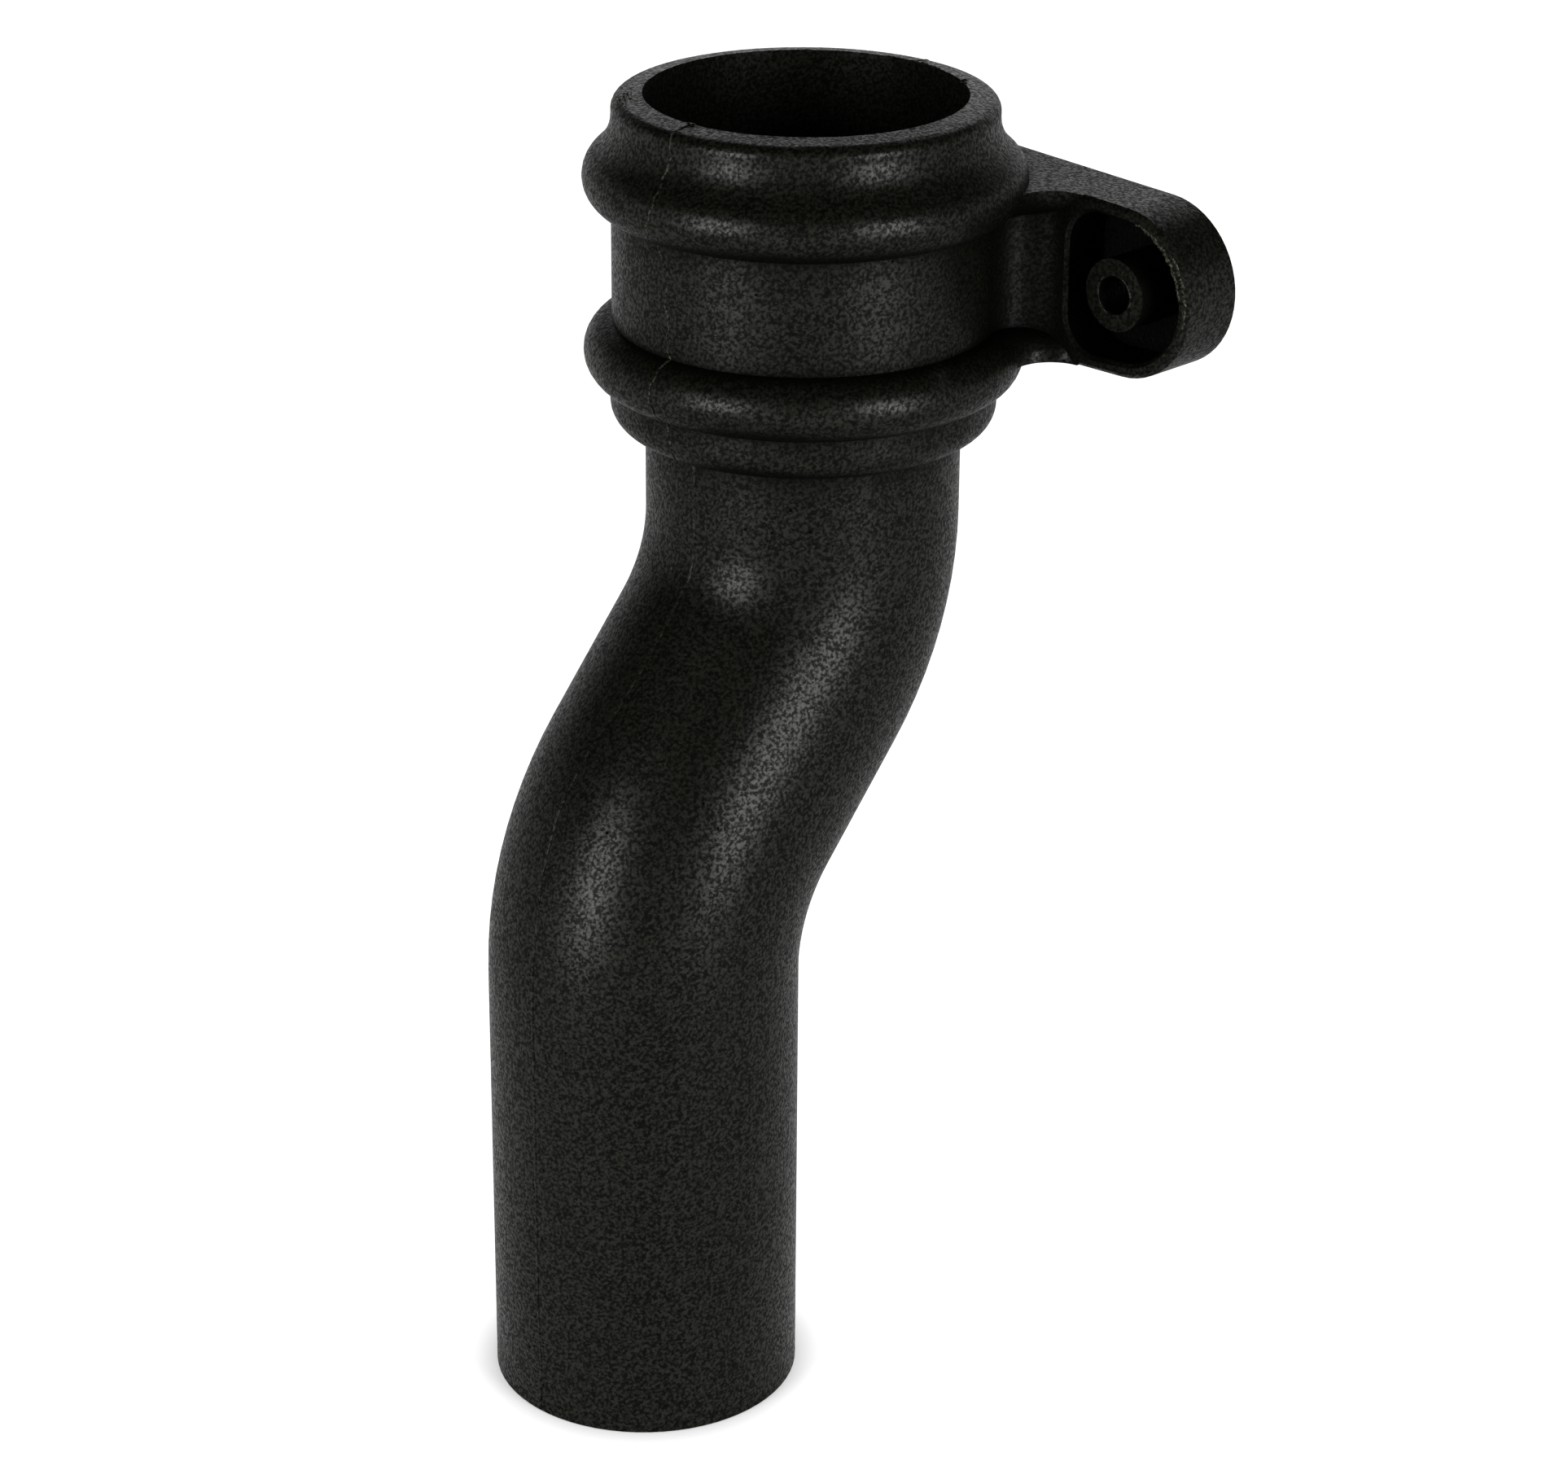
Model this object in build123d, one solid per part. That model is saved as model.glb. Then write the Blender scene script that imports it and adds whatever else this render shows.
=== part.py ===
from build123d import *
from math import atan2, cos, degrees, radians, sin, sqrt, tan
import os

# Downpipe plinth offset, moulded in one piece. A socket with two round beads takes the pipe
# from above, two hollow ears hold the socket to the wall, and an S-bend carries the water
# forward, clear of the plinth, to a plain spigot that enters the next fitting.
# +Z is up, +Y points to the wall and X runs from ear to ear. The origin is the centre of the
# spigot's open end. Sizes are in millimetres, angles in degrees.

# Pipe and S-bend
PIPE_RADIUS = 34.0
PIPE_WALL = 3.0
SPIGOT_LENGTH = 99.0
OFFSET = 47.7
BEND_ANGLE = 41.2
LOWER_BEND_RADIUS = 57.3
UPPER_BEND_RADIUS = 52.1
NECK_LENGTH = 19.3

# Socket, with heights above its base
SOCKET_HEIGHT = 72.3
SOCKET_BORE_CLEARANCE = 0.3
STOP_HEIGHT = 10.0
TAIL_RADIUS = 41.5
TAIL_ROUNDING = 5.4
BARREL_RADIUS = 41.0
COLLAR_RADIUS = 40.9
LIP_DROP = 0.9
LIP_ROUNDING = 2.6

# Beads round the socket: the lower one above its base, the upper one below its mouth
BEAD_SECTION = 7.0
BEAD_CREST = 47.1
LOWER_BEAD_HEIGHT = 16.6
UPPER_BEAD_DROP = 17.5
COLLAR_COVE = 10.0

# Ears
EAR_DEPTH = 15.1
EAR_END_RADIUS = 18.3
EAR_ROOT_RADIUS = 20.1
FIXING_X = 61.0
RIM_WALL = 3.1
RIM_CHAMFER = 0.8
EAR_FLOOR = 3.5
RECESS_SETBACK = 1.4
RECESS_CORNER = 8.0
BOSS_RADIUS = 7.8
BOSS_PROUD = 2.0
FIXING_HOLE_RADIUS = 4.1
BARREL_FAIRING = 9.0
BEAD_FAIRING = 8.0

# Worked out from the sizes above
PIPE_BORE = PIPE_RADIUS - PIPE_WALL
SOCKET_BORE = PIPE_RADIUS + SOCKET_BORE_CLEARANCE
LOWER_CORNER_Z = SPIGOT_LENGTH + LOWER_BEND_RADIUS * tan(radians(BEND_ANGLE / 2))
UPPER_CORNER_Z = LOWER_CORNER_Z + OFFSET / tan(radians(BEND_ANGLE))
SOCKET_BASE_Z = UPPER_CORNER_Z + UPPER_BEND_RADIUS * tan(radians(BEND_ANGLE / 2)) + NECK_LENGTH
UPPER_BEAD_HEIGHT = SOCKET_HEIGHT - UPPER_BEAD_DROP
EAR_MID_HEIGHT = (LOWER_BEAD_HEIGHT + UPPER_BEAD_HEIGHT) / 2
BEAD_CENTRE = BEAD_CREST - BEAD_SECTION
WALL_Y = BEAD_CREST
EAR_FRONT_Y = WALL_Y - EAR_DEPTH


def bead_meeting(wall_radius, cove=0):
    """Where a bead's round section meets the wall or the cove beside it, and where that cove ends.

    The first pair is the meeting point's distances from the bead's centre, outward and along the
    wall. The last value is how far along the wall the cove ends.
    """
    outward = wall_radius + cove - BEAD_CENTRE
    reach = sqrt((BEAD_SECTION + cove)**2 - outward**2)
    share = BEAD_SECTION / (BEAD_SECTION + cove)
    return outward * share, reach * share, reach


def bead_arc(height, below, above):
    """A bead's round section from the wall below it, over the crest, to the meeting point above."""
    start = (BEAD_CENTRE + below[0], height - below[1])
    finish = (BEAD_CENTRE + above[0], height + above[1])
    return ThreePointArc(start, (BEAD_CREST, height), finish)


def socket_profile():
    """Half section of the socket: tail, bead, barrel, bead, coved collar, lip, bore and stop."""
    at_barrel = bead_meeting(BARREL_RADIUS)
    at_collar = bead_meeting(COLLAR_RADIUS, COLLAR_COVE)
    lower = bead_arc(LOWER_BEAD_HEIGHT, bead_meeting(TAIL_RADIUS), at_barrel)
    upper = bead_arc(UPPER_BEAD_HEIGHT, at_barrel, at_collar)
    collar = (COLLAR_RADIUS, UPPER_BEAD_HEIGHT + at_collar[2])
    tail = TangentArc((TAIL_RADIUS - TAIL_ROUNDING, 0), (TAIL_RADIUS, TAIL_ROUNDING), tangent=(1, 0))
    cove = TangentArc(collar, upper @ 1, tangent=(0, -1))
    lip_height = SOCKET_HEIGHT - LIP_DROP
    inner = Polyline(
        collar,
        (COLLAR_RADIUS, lip_height),
        (SOCKET_BORE, SOCKET_HEIGHT),
        (SOCKET_BORE, STOP_HEIGHT),
        (PIPE_BORE, STOP_HEIGHT),
        (PIPE_BORE, 0),
        tail @ 0,
    )
    walls = [Line(tail @ 1, lower @ 0), Line(lower @ 1, upper @ 0)]
    rounds = [tail, lower, upper, cove]
    profile = make_face([edge for part in [*walls, *rounds, inner] for edge in part.edges()])
    lip = profile.vertices().sort_by_distance((COLLAR_RADIUS, lip_height))[0]
    return Plane.XZ * fillet(lip, LIP_ROUNDING)


def fairing_centre(socket_radius, fairing_radius):
    """Axis of the cove that is tangent to the socket's round and to the ear's front."""
    y = EAR_FRONT_Y - fairing_radius
    return sqrt((socket_radius + fairing_radius)**2 - y**2), y


def barrel_fairing():
    """Upright cove between the barrel and the ear's front, solid back to the wall."""
    x, y = fairing_centre(BARREL_RADIUS, BARREL_FAIRING)
    share = BARREL_RADIUS / (BARREL_RADIUS + BARREL_FAIRING)
    start = (x * share, y * share)
    middle = (atan2(y, x) + radians(270)) / 2
    through = (x + BARREL_FAIRING * cos(middle), y + BARREL_FAIRING * sin(middle))
    end = (x, EAR_FRONT_Y)
    edges = [
        Line((0, 0), start),
        ThreePointArc(start, through, end),
        Line(end, (x, WALL_Y)),
        Line((x, WALL_Y), (0, WALL_Y)),
        Line((0, WALL_Y), (0, 0)),
    ]
    return extrude(make_face(edges), SOCKET_HEIGHT)


def bead_fairing(bead_height):
    """The bead's own section turned about an upright axis, from the socket into the ear."""
    x, y = fairing_centre(BEAD_CREST, BEAD_FAIRING)
    azimuth = degrees(atan2(y, x))
    window = Plane.XZ * Pos(BEAD_CREST, bead_height) * Rectangle(2 * BEAD_SECTION, 2 * BEAD_SECTION)
    section = Rot(0, 0, azimuth) * (socket_profile() & window)
    return revolve(section, Axis((x, y, 0), (0, 0, -1)), 90 + azimuth)


def ear_plane(depth):
    """Upright plane at a depth in front of the wall, with its normal away from the wall."""
    return Plane(origin=(0, WALL_Y - depth, EAR_MID_HEIGHT), x_dir=(1, 0, 0), z_dir=(0, -1, 0))


def ear_outline():
    """Round end about the fixing, widening a little to the middle of the wall face."""
    end = Pos(FIXING_X, 0) * Circle(EAR_END_RADIUS)
    root = Circle(EAR_ROOT_RADIUS)
    return make_hull([*end.edges(), *root.edges()])


def recess_outline():
    """Round end inside the rim, and two rounded corners beside the barrel's fairing."""
    start_x = fairing_centre(BARREL_RADIUS, BARREL_FAIRING)[0] + RECESS_SETBACK
    share = (FIXING_X - start_x) / FIXING_X
    outer_half = EAR_END_RADIUS + share * (EAR_ROOT_RADIUS - EAR_END_RADIUS)
    corner_y = outer_half - RIM_WALL - RECESS_CORNER
    corner = Circle(RECESS_CORNER)
    rounds = [
        Pos(FIXING_X, 0) * Circle(EAR_END_RADIUS - RIM_WALL),
        Pos(start_x + RECESS_CORNER, corner_y) * corner,
        Pos(start_x + RECESS_CORNER, -corner_y) * corner,
    ]
    return make_hull([edge for shape in rounds for edge in shape.edges()])


def fairings():
    """The coves that carry the barrel and both beads into the ear's front."""
    joined = barrel_fairing()
    for height in (LOWER_BEAD_HEIGHT, UPPER_BEAD_HEIGHT):
        joined += bead_fairing(height)
    return joined


def ear():
    """One ear on the +X side, hollow from the front round a boss for the fixing."""
    outline = ear_outline()
    recess = extrude(ear_plane(EAR_FLOOR) * recess_outline(), WALL_Y)
    slab = extrude(ear_plane(0) * outline, EAR_DEPTH) - recess
    slab = chamfer(slab.faces().sort_by(Axis.Y)[0].edges(), RIM_CHAMFER)
    roots = fairings() & extrude(ear_plane(0) * outline, WALL_Y)
    fixing = ear_plane(0) * Pos(FIXING_X, 0)
    boss = extrude(fixing * Circle(BOSS_RADIUS), EAR_DEPTH + BOSS_PROUD)
    hole = extrude(fixing * Circle(FIXING_HOLE_RADIUS), WALL_Y)
    inside = extrude(Circle((BARREL_RADIUS + SOCKET_BORE) / 2), SOCKET_HEIGHT)
    return slab + (roots - recess) + boss - hole - inside


def pipe_solid(radius, height):
    """Round bar along the centreline, through both bends, to a height above the socket's base."""
    path = FilletPolyline(
        (0, 0, 0),
        (0, 0, LOWER_CORNER_Z),
        (0, OFFSET, UPPER_CORNER_Z),
        (0, OFFSET, SOCKET_BASE_Z + height),
        radius=[LOWER_BEND_RADIUS, UPPER_BEND_RADIUS],
    )
    return sweep(Circle(radius), path)


def plinth_offset():
    """The whole moulding: socket, ears and pipe joined, then bored right through."""
    ear_right = ear()
    upper = revolve(socket_profile(), Axis.Z) + ear_right + mirror(ear_right, Plane.YZ)
    upper = Pos(0, OFFSET, SOCKET_BASE_Z) * upper
    pipe = pipe_solid(PIPE_RADIUS, STOP_HEIGHT / 2)
    return upper + pipe - pipe_solid(PIPE_BORE, STOP_HEIGHT * 2)


os.makedirs("parts", exist_ok=True)
export_step(plinth_offset(), "parts/plinth_offset.step")
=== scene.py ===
"""Downpipe plinth offset: cast-look black moulding, with its parting seams, flash and trim marks."""

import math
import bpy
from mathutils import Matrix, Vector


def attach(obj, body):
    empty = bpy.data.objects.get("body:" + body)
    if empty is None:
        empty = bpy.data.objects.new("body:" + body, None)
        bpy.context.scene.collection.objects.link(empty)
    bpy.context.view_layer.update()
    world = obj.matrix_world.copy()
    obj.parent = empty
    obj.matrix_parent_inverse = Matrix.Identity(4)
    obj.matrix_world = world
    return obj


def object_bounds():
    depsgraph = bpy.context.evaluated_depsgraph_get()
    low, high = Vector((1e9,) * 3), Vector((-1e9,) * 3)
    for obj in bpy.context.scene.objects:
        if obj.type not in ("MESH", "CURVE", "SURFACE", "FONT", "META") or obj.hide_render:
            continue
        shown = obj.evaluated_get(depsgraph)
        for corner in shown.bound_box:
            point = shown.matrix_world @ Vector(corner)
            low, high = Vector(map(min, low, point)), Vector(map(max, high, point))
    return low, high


bl_info = {
    "name": "Downpipe Plinth Offset",
    "version": (1, 0, 0),
    "blender": (4, 5, 0),
    "location": "View3D > Sidebar > Plinth Offset",
    "description": "Finishes a beaded rainwater pipe offset and sets its studio",
    "category": "Object",
}

from functools import partial

import bmesh
import bpy
import numpy as np
from mathutils import Matrix, Vector

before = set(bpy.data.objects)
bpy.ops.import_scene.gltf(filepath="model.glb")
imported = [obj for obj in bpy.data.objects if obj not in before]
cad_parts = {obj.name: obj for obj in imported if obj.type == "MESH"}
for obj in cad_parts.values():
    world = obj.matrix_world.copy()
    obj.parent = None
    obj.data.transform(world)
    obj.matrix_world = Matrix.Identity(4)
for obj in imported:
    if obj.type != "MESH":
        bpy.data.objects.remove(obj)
SOLID_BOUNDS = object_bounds()

BODY = "root"
NODE = "plinth_offset"

# Socket outline in millimetres: radii of its three walls, heights above its base, and rounds
TAIL_WALL = 41.5
BARREL_WALL = 41.0
COLLAR_WALL = 40.9
LOWER_BEAD = 16.6
UPPER_BEAD = 54.8
COLLAR_COVE = 10.0
TAIL_ROUND = 5.4
LIP_ROUND = 2.6
LIP_START = 69.13
LIP_TURN = 71.7
MOUTH = 72.3
BORE_EDGE = 34.45

# Radii and heights of the ridges in the torn patch on the lip, in millimetres
TORN_RIDGES = ((36.9, 71.95), (37.8, 71.82), (38.7, 71.7), (39.5, 71.44))

# The two edges of an ear's rim at its round end, as radii about the fixing in millimetres
RIM_INNER = 15.9
RIM_OUTER = 17.4

# Direction away from the wall
TO_FRONT = np.array([0, -1.0, 0])

# Painted shade at the bottom of a pit in the grain
PIT_PAINTED_SHADE = (0.0005, 0.0005, 0.0005, 1.0)


def mm(name, text, default, low=0.0):
    """A length property given in millimetres and kept in metres."""
    return bpy.props.FloatProperty(
        name=name,
        description=text,
        default=default / 1000,
        min=low / 1000,
        precision=5,
        subtype="DISTANCE",
        unit="LENGTH",
    )


def factor(name, text, default, high=1.0):
    """A plain number from nought to a limit."""
    return bpy.props.FloatProperty(
        name=name,
        description=text,
        default=default,
        min=0.0,
        max=high,
        precision=3,
    )


def angle(name, text, default):
    """An angle property given in degrees and kept in radians."""
    return bpy.props.FloatProperty(
        name=name,
        description=text,
        default=math.radians(default),
        subtype="ANGLE",
    )


def colour(name, text, default):
    """A linear colour that a user can change."""
    return bpy.props.FloatVectorProperty(
        name=name,
        description=text,
        default=default,
        min=0.0,
        max=1.0,
        size=3,
        subtype="COLOR",
    )


def watts(name, text, default):
    """The power of a lamp."""
    return bpy.props.FloatProperty(name=name, description=text, default=default, min=0.0, unit="POWER")


class PipeSizes(bpy.types.PropertyGroup):
    """Sizes of the solid pipe and socket, which the seams and marks lie on."""

    pipe_radius: mm("Pipe radius", "Outside radius of the pipe", 34.0)
    spigot_length: mm("Spigot length", "Straight run up to the lower bend", 99.0)
    offset: mm("Offset", "Distance between the two upright axes", 47.7)
    bend_angle: angle("Bend angle", "Turn of each bend", 41.2)
    lower_bend: mm("Lower bend", "Centreline radius of the lower bend", 57.3)
    upper_bend: mm("Upper bend", "Centreline radius of the upper bend", 52.1)
    neck: mm("Neck", "Straight run from the upper bend to the socket", 19.3)
    bead_section: mm("Bead section", "Radius of a bead's round section", 7.0)
    bead_crest: mm("Bead crest", "Radius of the socket over a bead", 47.1)
    fixing_x: mm("Fixing distance", "Distance of each fixing hole from the middle", 61.0)
    fixing_hole: mm("Fixing hole", "Radius of each fixing hole", 4.1)
    boss_front: mm("Boss front", "Distance of the boss face in front of the wall face", 17.1)
    ear_depth: mm("Ear depth", "Distance of the rim's front in front of the wall face", 15.1)


class MarkSizes(bpy.types.PropertyGroup):
    """Sizes of the seams, the flash and the trim marks."""

    seam_width: mm("Seam width", "Half width of the parting seam on the pipe", 0.34)
    seam_height: mm("Seam height", "Height of the parting seam on the pipe", 0.12)
    seam_lean: angle("Seam lean", "How far the front seam lies to the right of the middle", 3.0)
    flash_width: mm("Flash width", "Half width of the flash on the socket", 0.3)
    flash_height: mm("Flash height", "Height of the flash on the socket", 0.26)
    burr_width: mm("Burr width", "Half width of a trimmed burr", 0.45)
    burr_height: mm("Burr height", "Height of a trimmed burr", 0.5)
    # The rubbed edges of an ear's rim are slim ridges whose pale colour is a painted highlight
    rubbed_highlight_width: mm("Rubbed highlight edge width", "Half width of the rubbed edge of an ear's rim, with its painted highlight", 0.5)
    rubbed_highlight_height: mm("Rubbed highlight edge height", "Height of the rubbed edge of an ear's rim, with its painted highlight", 0.16)


class MouldingFinish(bpy.types.PropertyGroup):
    """Colours and texture of the moulded plastic."""

    base: colour("Plastic", "Colour of the moulded plastic", (0.0062, 0.0066, 0.0042))
    # Darkest colour, a painted shade: in the grain's hollows, and in sheltered places, creases and
    # undersides
    painted_shade: colour(
        "Plastic, darkest",
        "Painted shade in the hollows of the grain and in sheltered places",
        (0.0006, 0.0007, 0.0005),
    )
    scuffed: colour("Scuffed", "Colour where the surface is rubbed", (0.05, 0.05, 0.046))
    grain_size: mm("Grain size", "Size of one pebble of the grain", 0.72)
    grain_depth: mm("Grain depth", "Depth of the grain", 0.17)
    roughness: factor("Roughness", "Roughness on top of the pebbles", 0.27)
    gloss: factor("Gloss", "Strength of the reflections under the skin, where a half is clear lacquer", 0.02)
    skin: factor("Skin", "Strength of the glossy moulded skin on top of the pebbles", 0.25)
    skin_roughness: factor("Skin roughness", "Roughness of the glossy moulded skin", 0.32)
    # Reaches of the painted shade: how far walls darken each other's colour and skin, and how far it spreads
    # beside a tight crease
    shelter: mm("Sheltered reach", "How far apart walls still get painted shade from each other", 30.0)
    crease: mm("Crease reach", "How far the painted dark beside a tight crease spreads", 8.0)
    scuff_amount: factor("Scuffs", "How much of the surface is rubbed", 0.3)


class StudioSettings(bpy.types.PropertyGroup):
    """Camera, lamps, floor and surround."""

    camera_at: bpy.props.FloatVectorProperty(
        name="Camera",
        description="Place of the camera",
        default=(0.612413, -0.5586, 0.521971),
        size=3,
        subtype="TRANSLATION",
    )
    lens: bpy.props.FloatProperty(
        name="Lens",
        description="Focal length on a 36 mm frame",
        default=97.21,
        min=10.0,
        unit="CAMERA",
    )
    floor: colour("Floor", "Colour of the floor", (0.4, 0.4, 0.4))
    floor_lift: factor("Floor lift", "White that the camera and the reflections see on the floor", 0.95)
    # The contact shadow is painted into the floor's white beside the object
    contact: factor("Contact shadow", "How much of that white is lost right beside the object", 0.64)
    contact_reach: mm("Contact reach", "How far the contact shadow spreads", 12.0)
    lamp_distance: mm("Lamp distance", "Distance of the softboxes from the object", 1200.0)
    lamp_rise: angle("Lamp rise", "How high the front softboxes stand", 10.0)
    lamp_width: mm("Lamp width", "Width of each front softbox", 450.0)
    lamp_height: mm("Lamp height", "Height of each front softbox", 700.0)
    left_turn: angle("Left lamp turn", "Direction of the left softbox from the right hand side", -88.0)
    left_power: watts("Left lamp", "Power of the left softbox", 17.0)
    right_turn: angle("Right lamp turn", "Direction of the right softbox from the right hand side", -1.0)
    right_power: watts("Right lamp", "Power of the right softbox", 17.0)
    back_turn: angle("Back lamp turn", "Direction of the back lamp from the right hand side", 125.0)
    back_rise: angle("Back lamp rise", "How high the back lamp stands", 35.0)
    back_size: mm("Back lamp size", "Width and height of the back lamp", 900.0)
    back_power: watts("Back lamp", "Power of the wide lamp behind the wall side", 4.0)
    sky: factor("Surround", "Strength of the surround on matt surfaces", 0.35, 2.0)
    ceiling: factor("Ceiling", "How bright the surround is overhead", 0.02)


def grid_faces(rows, columns):
    """Quads of a grid of rows by columns, wrapped round in the columns."""
    row = np.arange(rows - 1)[:, None]
    column = np.arange(columns)[None, :]
    step = (column + 1) % columns
    first = row * columns + column
    second = row * columns + step
    return np.stack([first, second, second + columns, first + columns], axis=-1).reshape(-1, 4)


def add_mesh(name, parts, material):
    """Put arrays of corners, quads and triangles into one smooth object at the origin."""
    points, faces, count = [], [], 0
    for part_points, part_quads, part_triangles in parts:
        points.append(part_points)
        faces += (part_quads + count).tolist() + (part_triangles + count).tolist()
        count += len(part_points)
    mesh = bpy.data.meshes.new(name)
    mesh.from_pydata(np.concatenate(points).tolist(), [], faces)
    mesh.polygons.foreach_set("use_smooth", np.ones(len(mesh.polygons), dtype=bool))
    mesh.materials.append(material)
    work = bmesh.new()
    work.from_mesh(mesh)
    bmesh.ops.recalc_face_normals(work, faces=work.faces)
    work.to_mesh(mesh)
    work.free()
    piece = bpy.data.objects.new(name, mesh)
    bpy.context.collection.objects.link(piece)
    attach(piece, BODY)
    return piece


def unit(vectors):
    """Vectors scaled to length one."""
    return vectors / np.maximum(np.linalg.norm(vectors, axis=-1, keepdims=True), 1e-12)


def ridge(path, normals, widths, heights, closed=False, around=10, sink=0.35):
    """A slim closed bead of material along a path that lies on a surface.

    Each ring is path + side * width * cos(t) + normal * height * sin(t), with t from nought to a
    full turn, and the half below the surface flattened to a share of the height. An open ridge
    ends in two poles. Gives corners, quads and triangles.
    """
    if closed:
        ahead = unit(np.roll(path, -1, axis=0) - np.roll(path, 1, axis=0))
    else:
        ahead = unit(np.gradient(path, axis=0))
    side = unit(np.cross(ahead, normals))
    turn = np.linspace(0, 2 * np.pi, around, endpoint=False)
    lift = np.sin(turn)
    lift = np.where(lift < 0, lift * sink, lift)
    sideways = side[:, None, :] * (widths[:, None] * np.cos(turn))[..., None]
    upwards = normals[:, None, :] * (heights[:, None] * lift)[..., None]
    points = (path[:, None, :] + sideways + upwards).reshape(-1, 3)
    rows = len(path)
    if closed:
        quads = grid_faces(rows + 1, around) % (rows * around)
        return points, quads, np.empty((0, 3), dtype=int)
    column = np.arange(around)
    following = (column + 1) % around
    last = (rows - 1) * around
    start = np.stack([np.full(around, rows * around), following, column], axis=-1)
    finish = np.stack([np.full(around, rows * around + 1), last + column, last + following], axis=-1)
    points = np.concatenate([points, path[:1], path[-1:]], axis=0)
    return points, grid_faces(rows, around), np.concatenate([start, finish], axis=0)


def wander(values, seed, lengths, amounts):
    """A smooth uneven line: a sum of sines with the given wave lengths, amounts and seeded phases."""
    random = np.random.default_rng(seed)
    total = np.zeros_like(values)
    for length, amount in zip(lengths, amounts):
        total += amount * np.sin(2 * np.pi * values / length + random.uniform(0, 2 * np.pi))
    return total


def swell(values, place, reach):
    """A smooth hump of height one at a place, fading over a reach to both sides."""
    return np.exp(-(((values - place) / reach) ** 2))


def bend_lengths(sizes):
    """Lengths of the slanted run and of the whole centreline up to the socket's base."""
    turn = sizes.bend_angle
    both = sizes.lower_bend + sizes.upper_bend
    slant = (sizes.offset - both * (1 - math.cos(turn))) / math.sin(turn)
    return slant, sizes.spigot_length + both * turn + slant + sizes.neck


def pipe_surface(sizes, along, azimuth, lift=0.0):
    """Points and normals on the pipe's outside.

    along is the distance up the centreline: a straight run, an arc turned backwards, a slanted
    run, an arc turned upright and the neck. azimuth is measured about the centreline from the
    front towards +X.
    """
    turn = sizes.bend_angle
    low, high = sizes.lower_bend, sizes.upper_bend
    slant = bend_lengths(sizes)[0]
    past_spigot = along - sizes.spigot_length
    first = np.clip(past_spigot / low, 0, turn)
    on_slant = np.clip(past_spigot - low * turn, 0, slant)
    second = np.clip((past_spigot - low * turn - slant) / high, 0, turn)
    above = np.maximum(past_spigot - (low + high) * turn - slant, 0)
    lean = first - second
    y = low * (1 - np.cos(first)) + on_slant * math.sin(turn)
    y = y + high * (np.cos(turn - second) - math.cos(turn))
    z = np.minimum(along, sizes.spigot_length) + low * np.sin(first) + on_slant * math.cos(turn)
    z = z + high * (math.sin(turn) - np.sin(turn - second)) + above
    front = np.cos(azimuth)
    normal = np.stack([np.sin(azimuth), -front * np.cos(lean), front * np.sin(lean)], axis=-1)
    centre = np.stack([np.zeros_like(y), y, z], axis=-1)
    return centre + normal * (sizes.pipe_radius + lift), normal


def socket_base(sizes):
    """Height of the socket's base above the open end."""
    length = np.array([bend_lengths(sizes)[1]])
    centre, _ = pipe_surface(sizes, length, np.array([0.0]), -sizes.pipe_radius)
    return float(centre[0, 2])


def fixing_level(sizes):
    """Height of the fixing holes above the open end, midway between the two beads."""
    return socket_base(sizes) + (LOWER_BEAD + UPPER_BEAD) / 2000


def socket_radius(sizes, height):
    """Outside radius of the socket at heights above its base, both in millimetres.

    Straight walls, a quarter round under the tail, two beads of round section that stand out
    through the walls, a cove from the upper bead into the collar, and a quarter round at the lip.
    """
    section = sizes.bead_section * 1000
    centre = sizes.bead_crest * 1000 - section
    upper_wall = np.where(height < UPPER_BEAD, BARREL_WALL, COLLAR_WALL)
    radius = np.where(height < LOWER_BEAD, TAIL_WALL, upper_wall)
    for bead in (LOWER_BEAD, UPPER_BEAD):
        radius = np.maximum(radius, centre + np.sqrt(np.maximum(section**2 - (height - bead) ** 2, 0)))
    outward = COLLAR_WALL + COLLAR_COVE - centre
    reach = math.sqrt((section + COLLAR_COVE) ** 2 - outward**2)
    joint = reach * section / (section + COLLAR_COVE)
    away = height - UPPER_BEAD
    cove = COLLAR_WALL + COLLAR_COVE - np.sqrt(np.maximum(COLLAR_COVE**2 - (reach - away) ** 2, 0))
    radius = np.where((away > joint) & (away < reach), cove, radius)
    tail = TAIL_WALL - TAIL_ROUND + np.sqrt(np.maximum(TAIL_ROUND**2 - (TAIL_ROUND - height) ** 2, 0))
    radius = np.where(height < TAIL_ROUND, tail, radius)
    lip = COLLAR_WALL - LIP_ROUND + np.sqrt(np.maximum(LIP_ROUND**2 - (height - LIP_START) ** 2, 0))
    return np.where(height > LIP_START, lip, radius)


def socket_line(sizes, azimuth_of, count):
    """Points, normals and heights of a line up the socket, over its lip and in to the bore's edge.

    The outline's radii and heights are read at even steps of its own length. azimuth_of gives the
    line's azimuth from the heights.
    """
    height = np.append(np.linspace(0.3, LIP_TURN, 4000), MOUTH)
    radius = np.append(socket_radius(sizes, height[:-1]), BORE_EDGE)
    travelled = np.append(0, np.cumsum(np.hypot(np.diff(radius), np.diff(height))))
    steps = np.linspace(0, travelled[-1], count)
    radius = np.interp(steps, travelled, radius)
    height = np.interp(steps, travelled, height)
    azimuth = azimuth_of(height)
    outward = np.stack([np.sin(azimuth), -np.cos(azimuth), np.zeros_like(azimuth)], axis=-1)
    rise, spread = np.gradient(height), np.gradient(radius)
    normals = unit(outward * rise[:, None] - spread[:, None] * np.array([0, 0, 1.0]))
    points = outward * radius[:, None] / 1000
    points[:, 1] += sizes.offset
    points[:, 2] += socket_base(sizes) + height / 1000
    return points, normals, height


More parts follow.
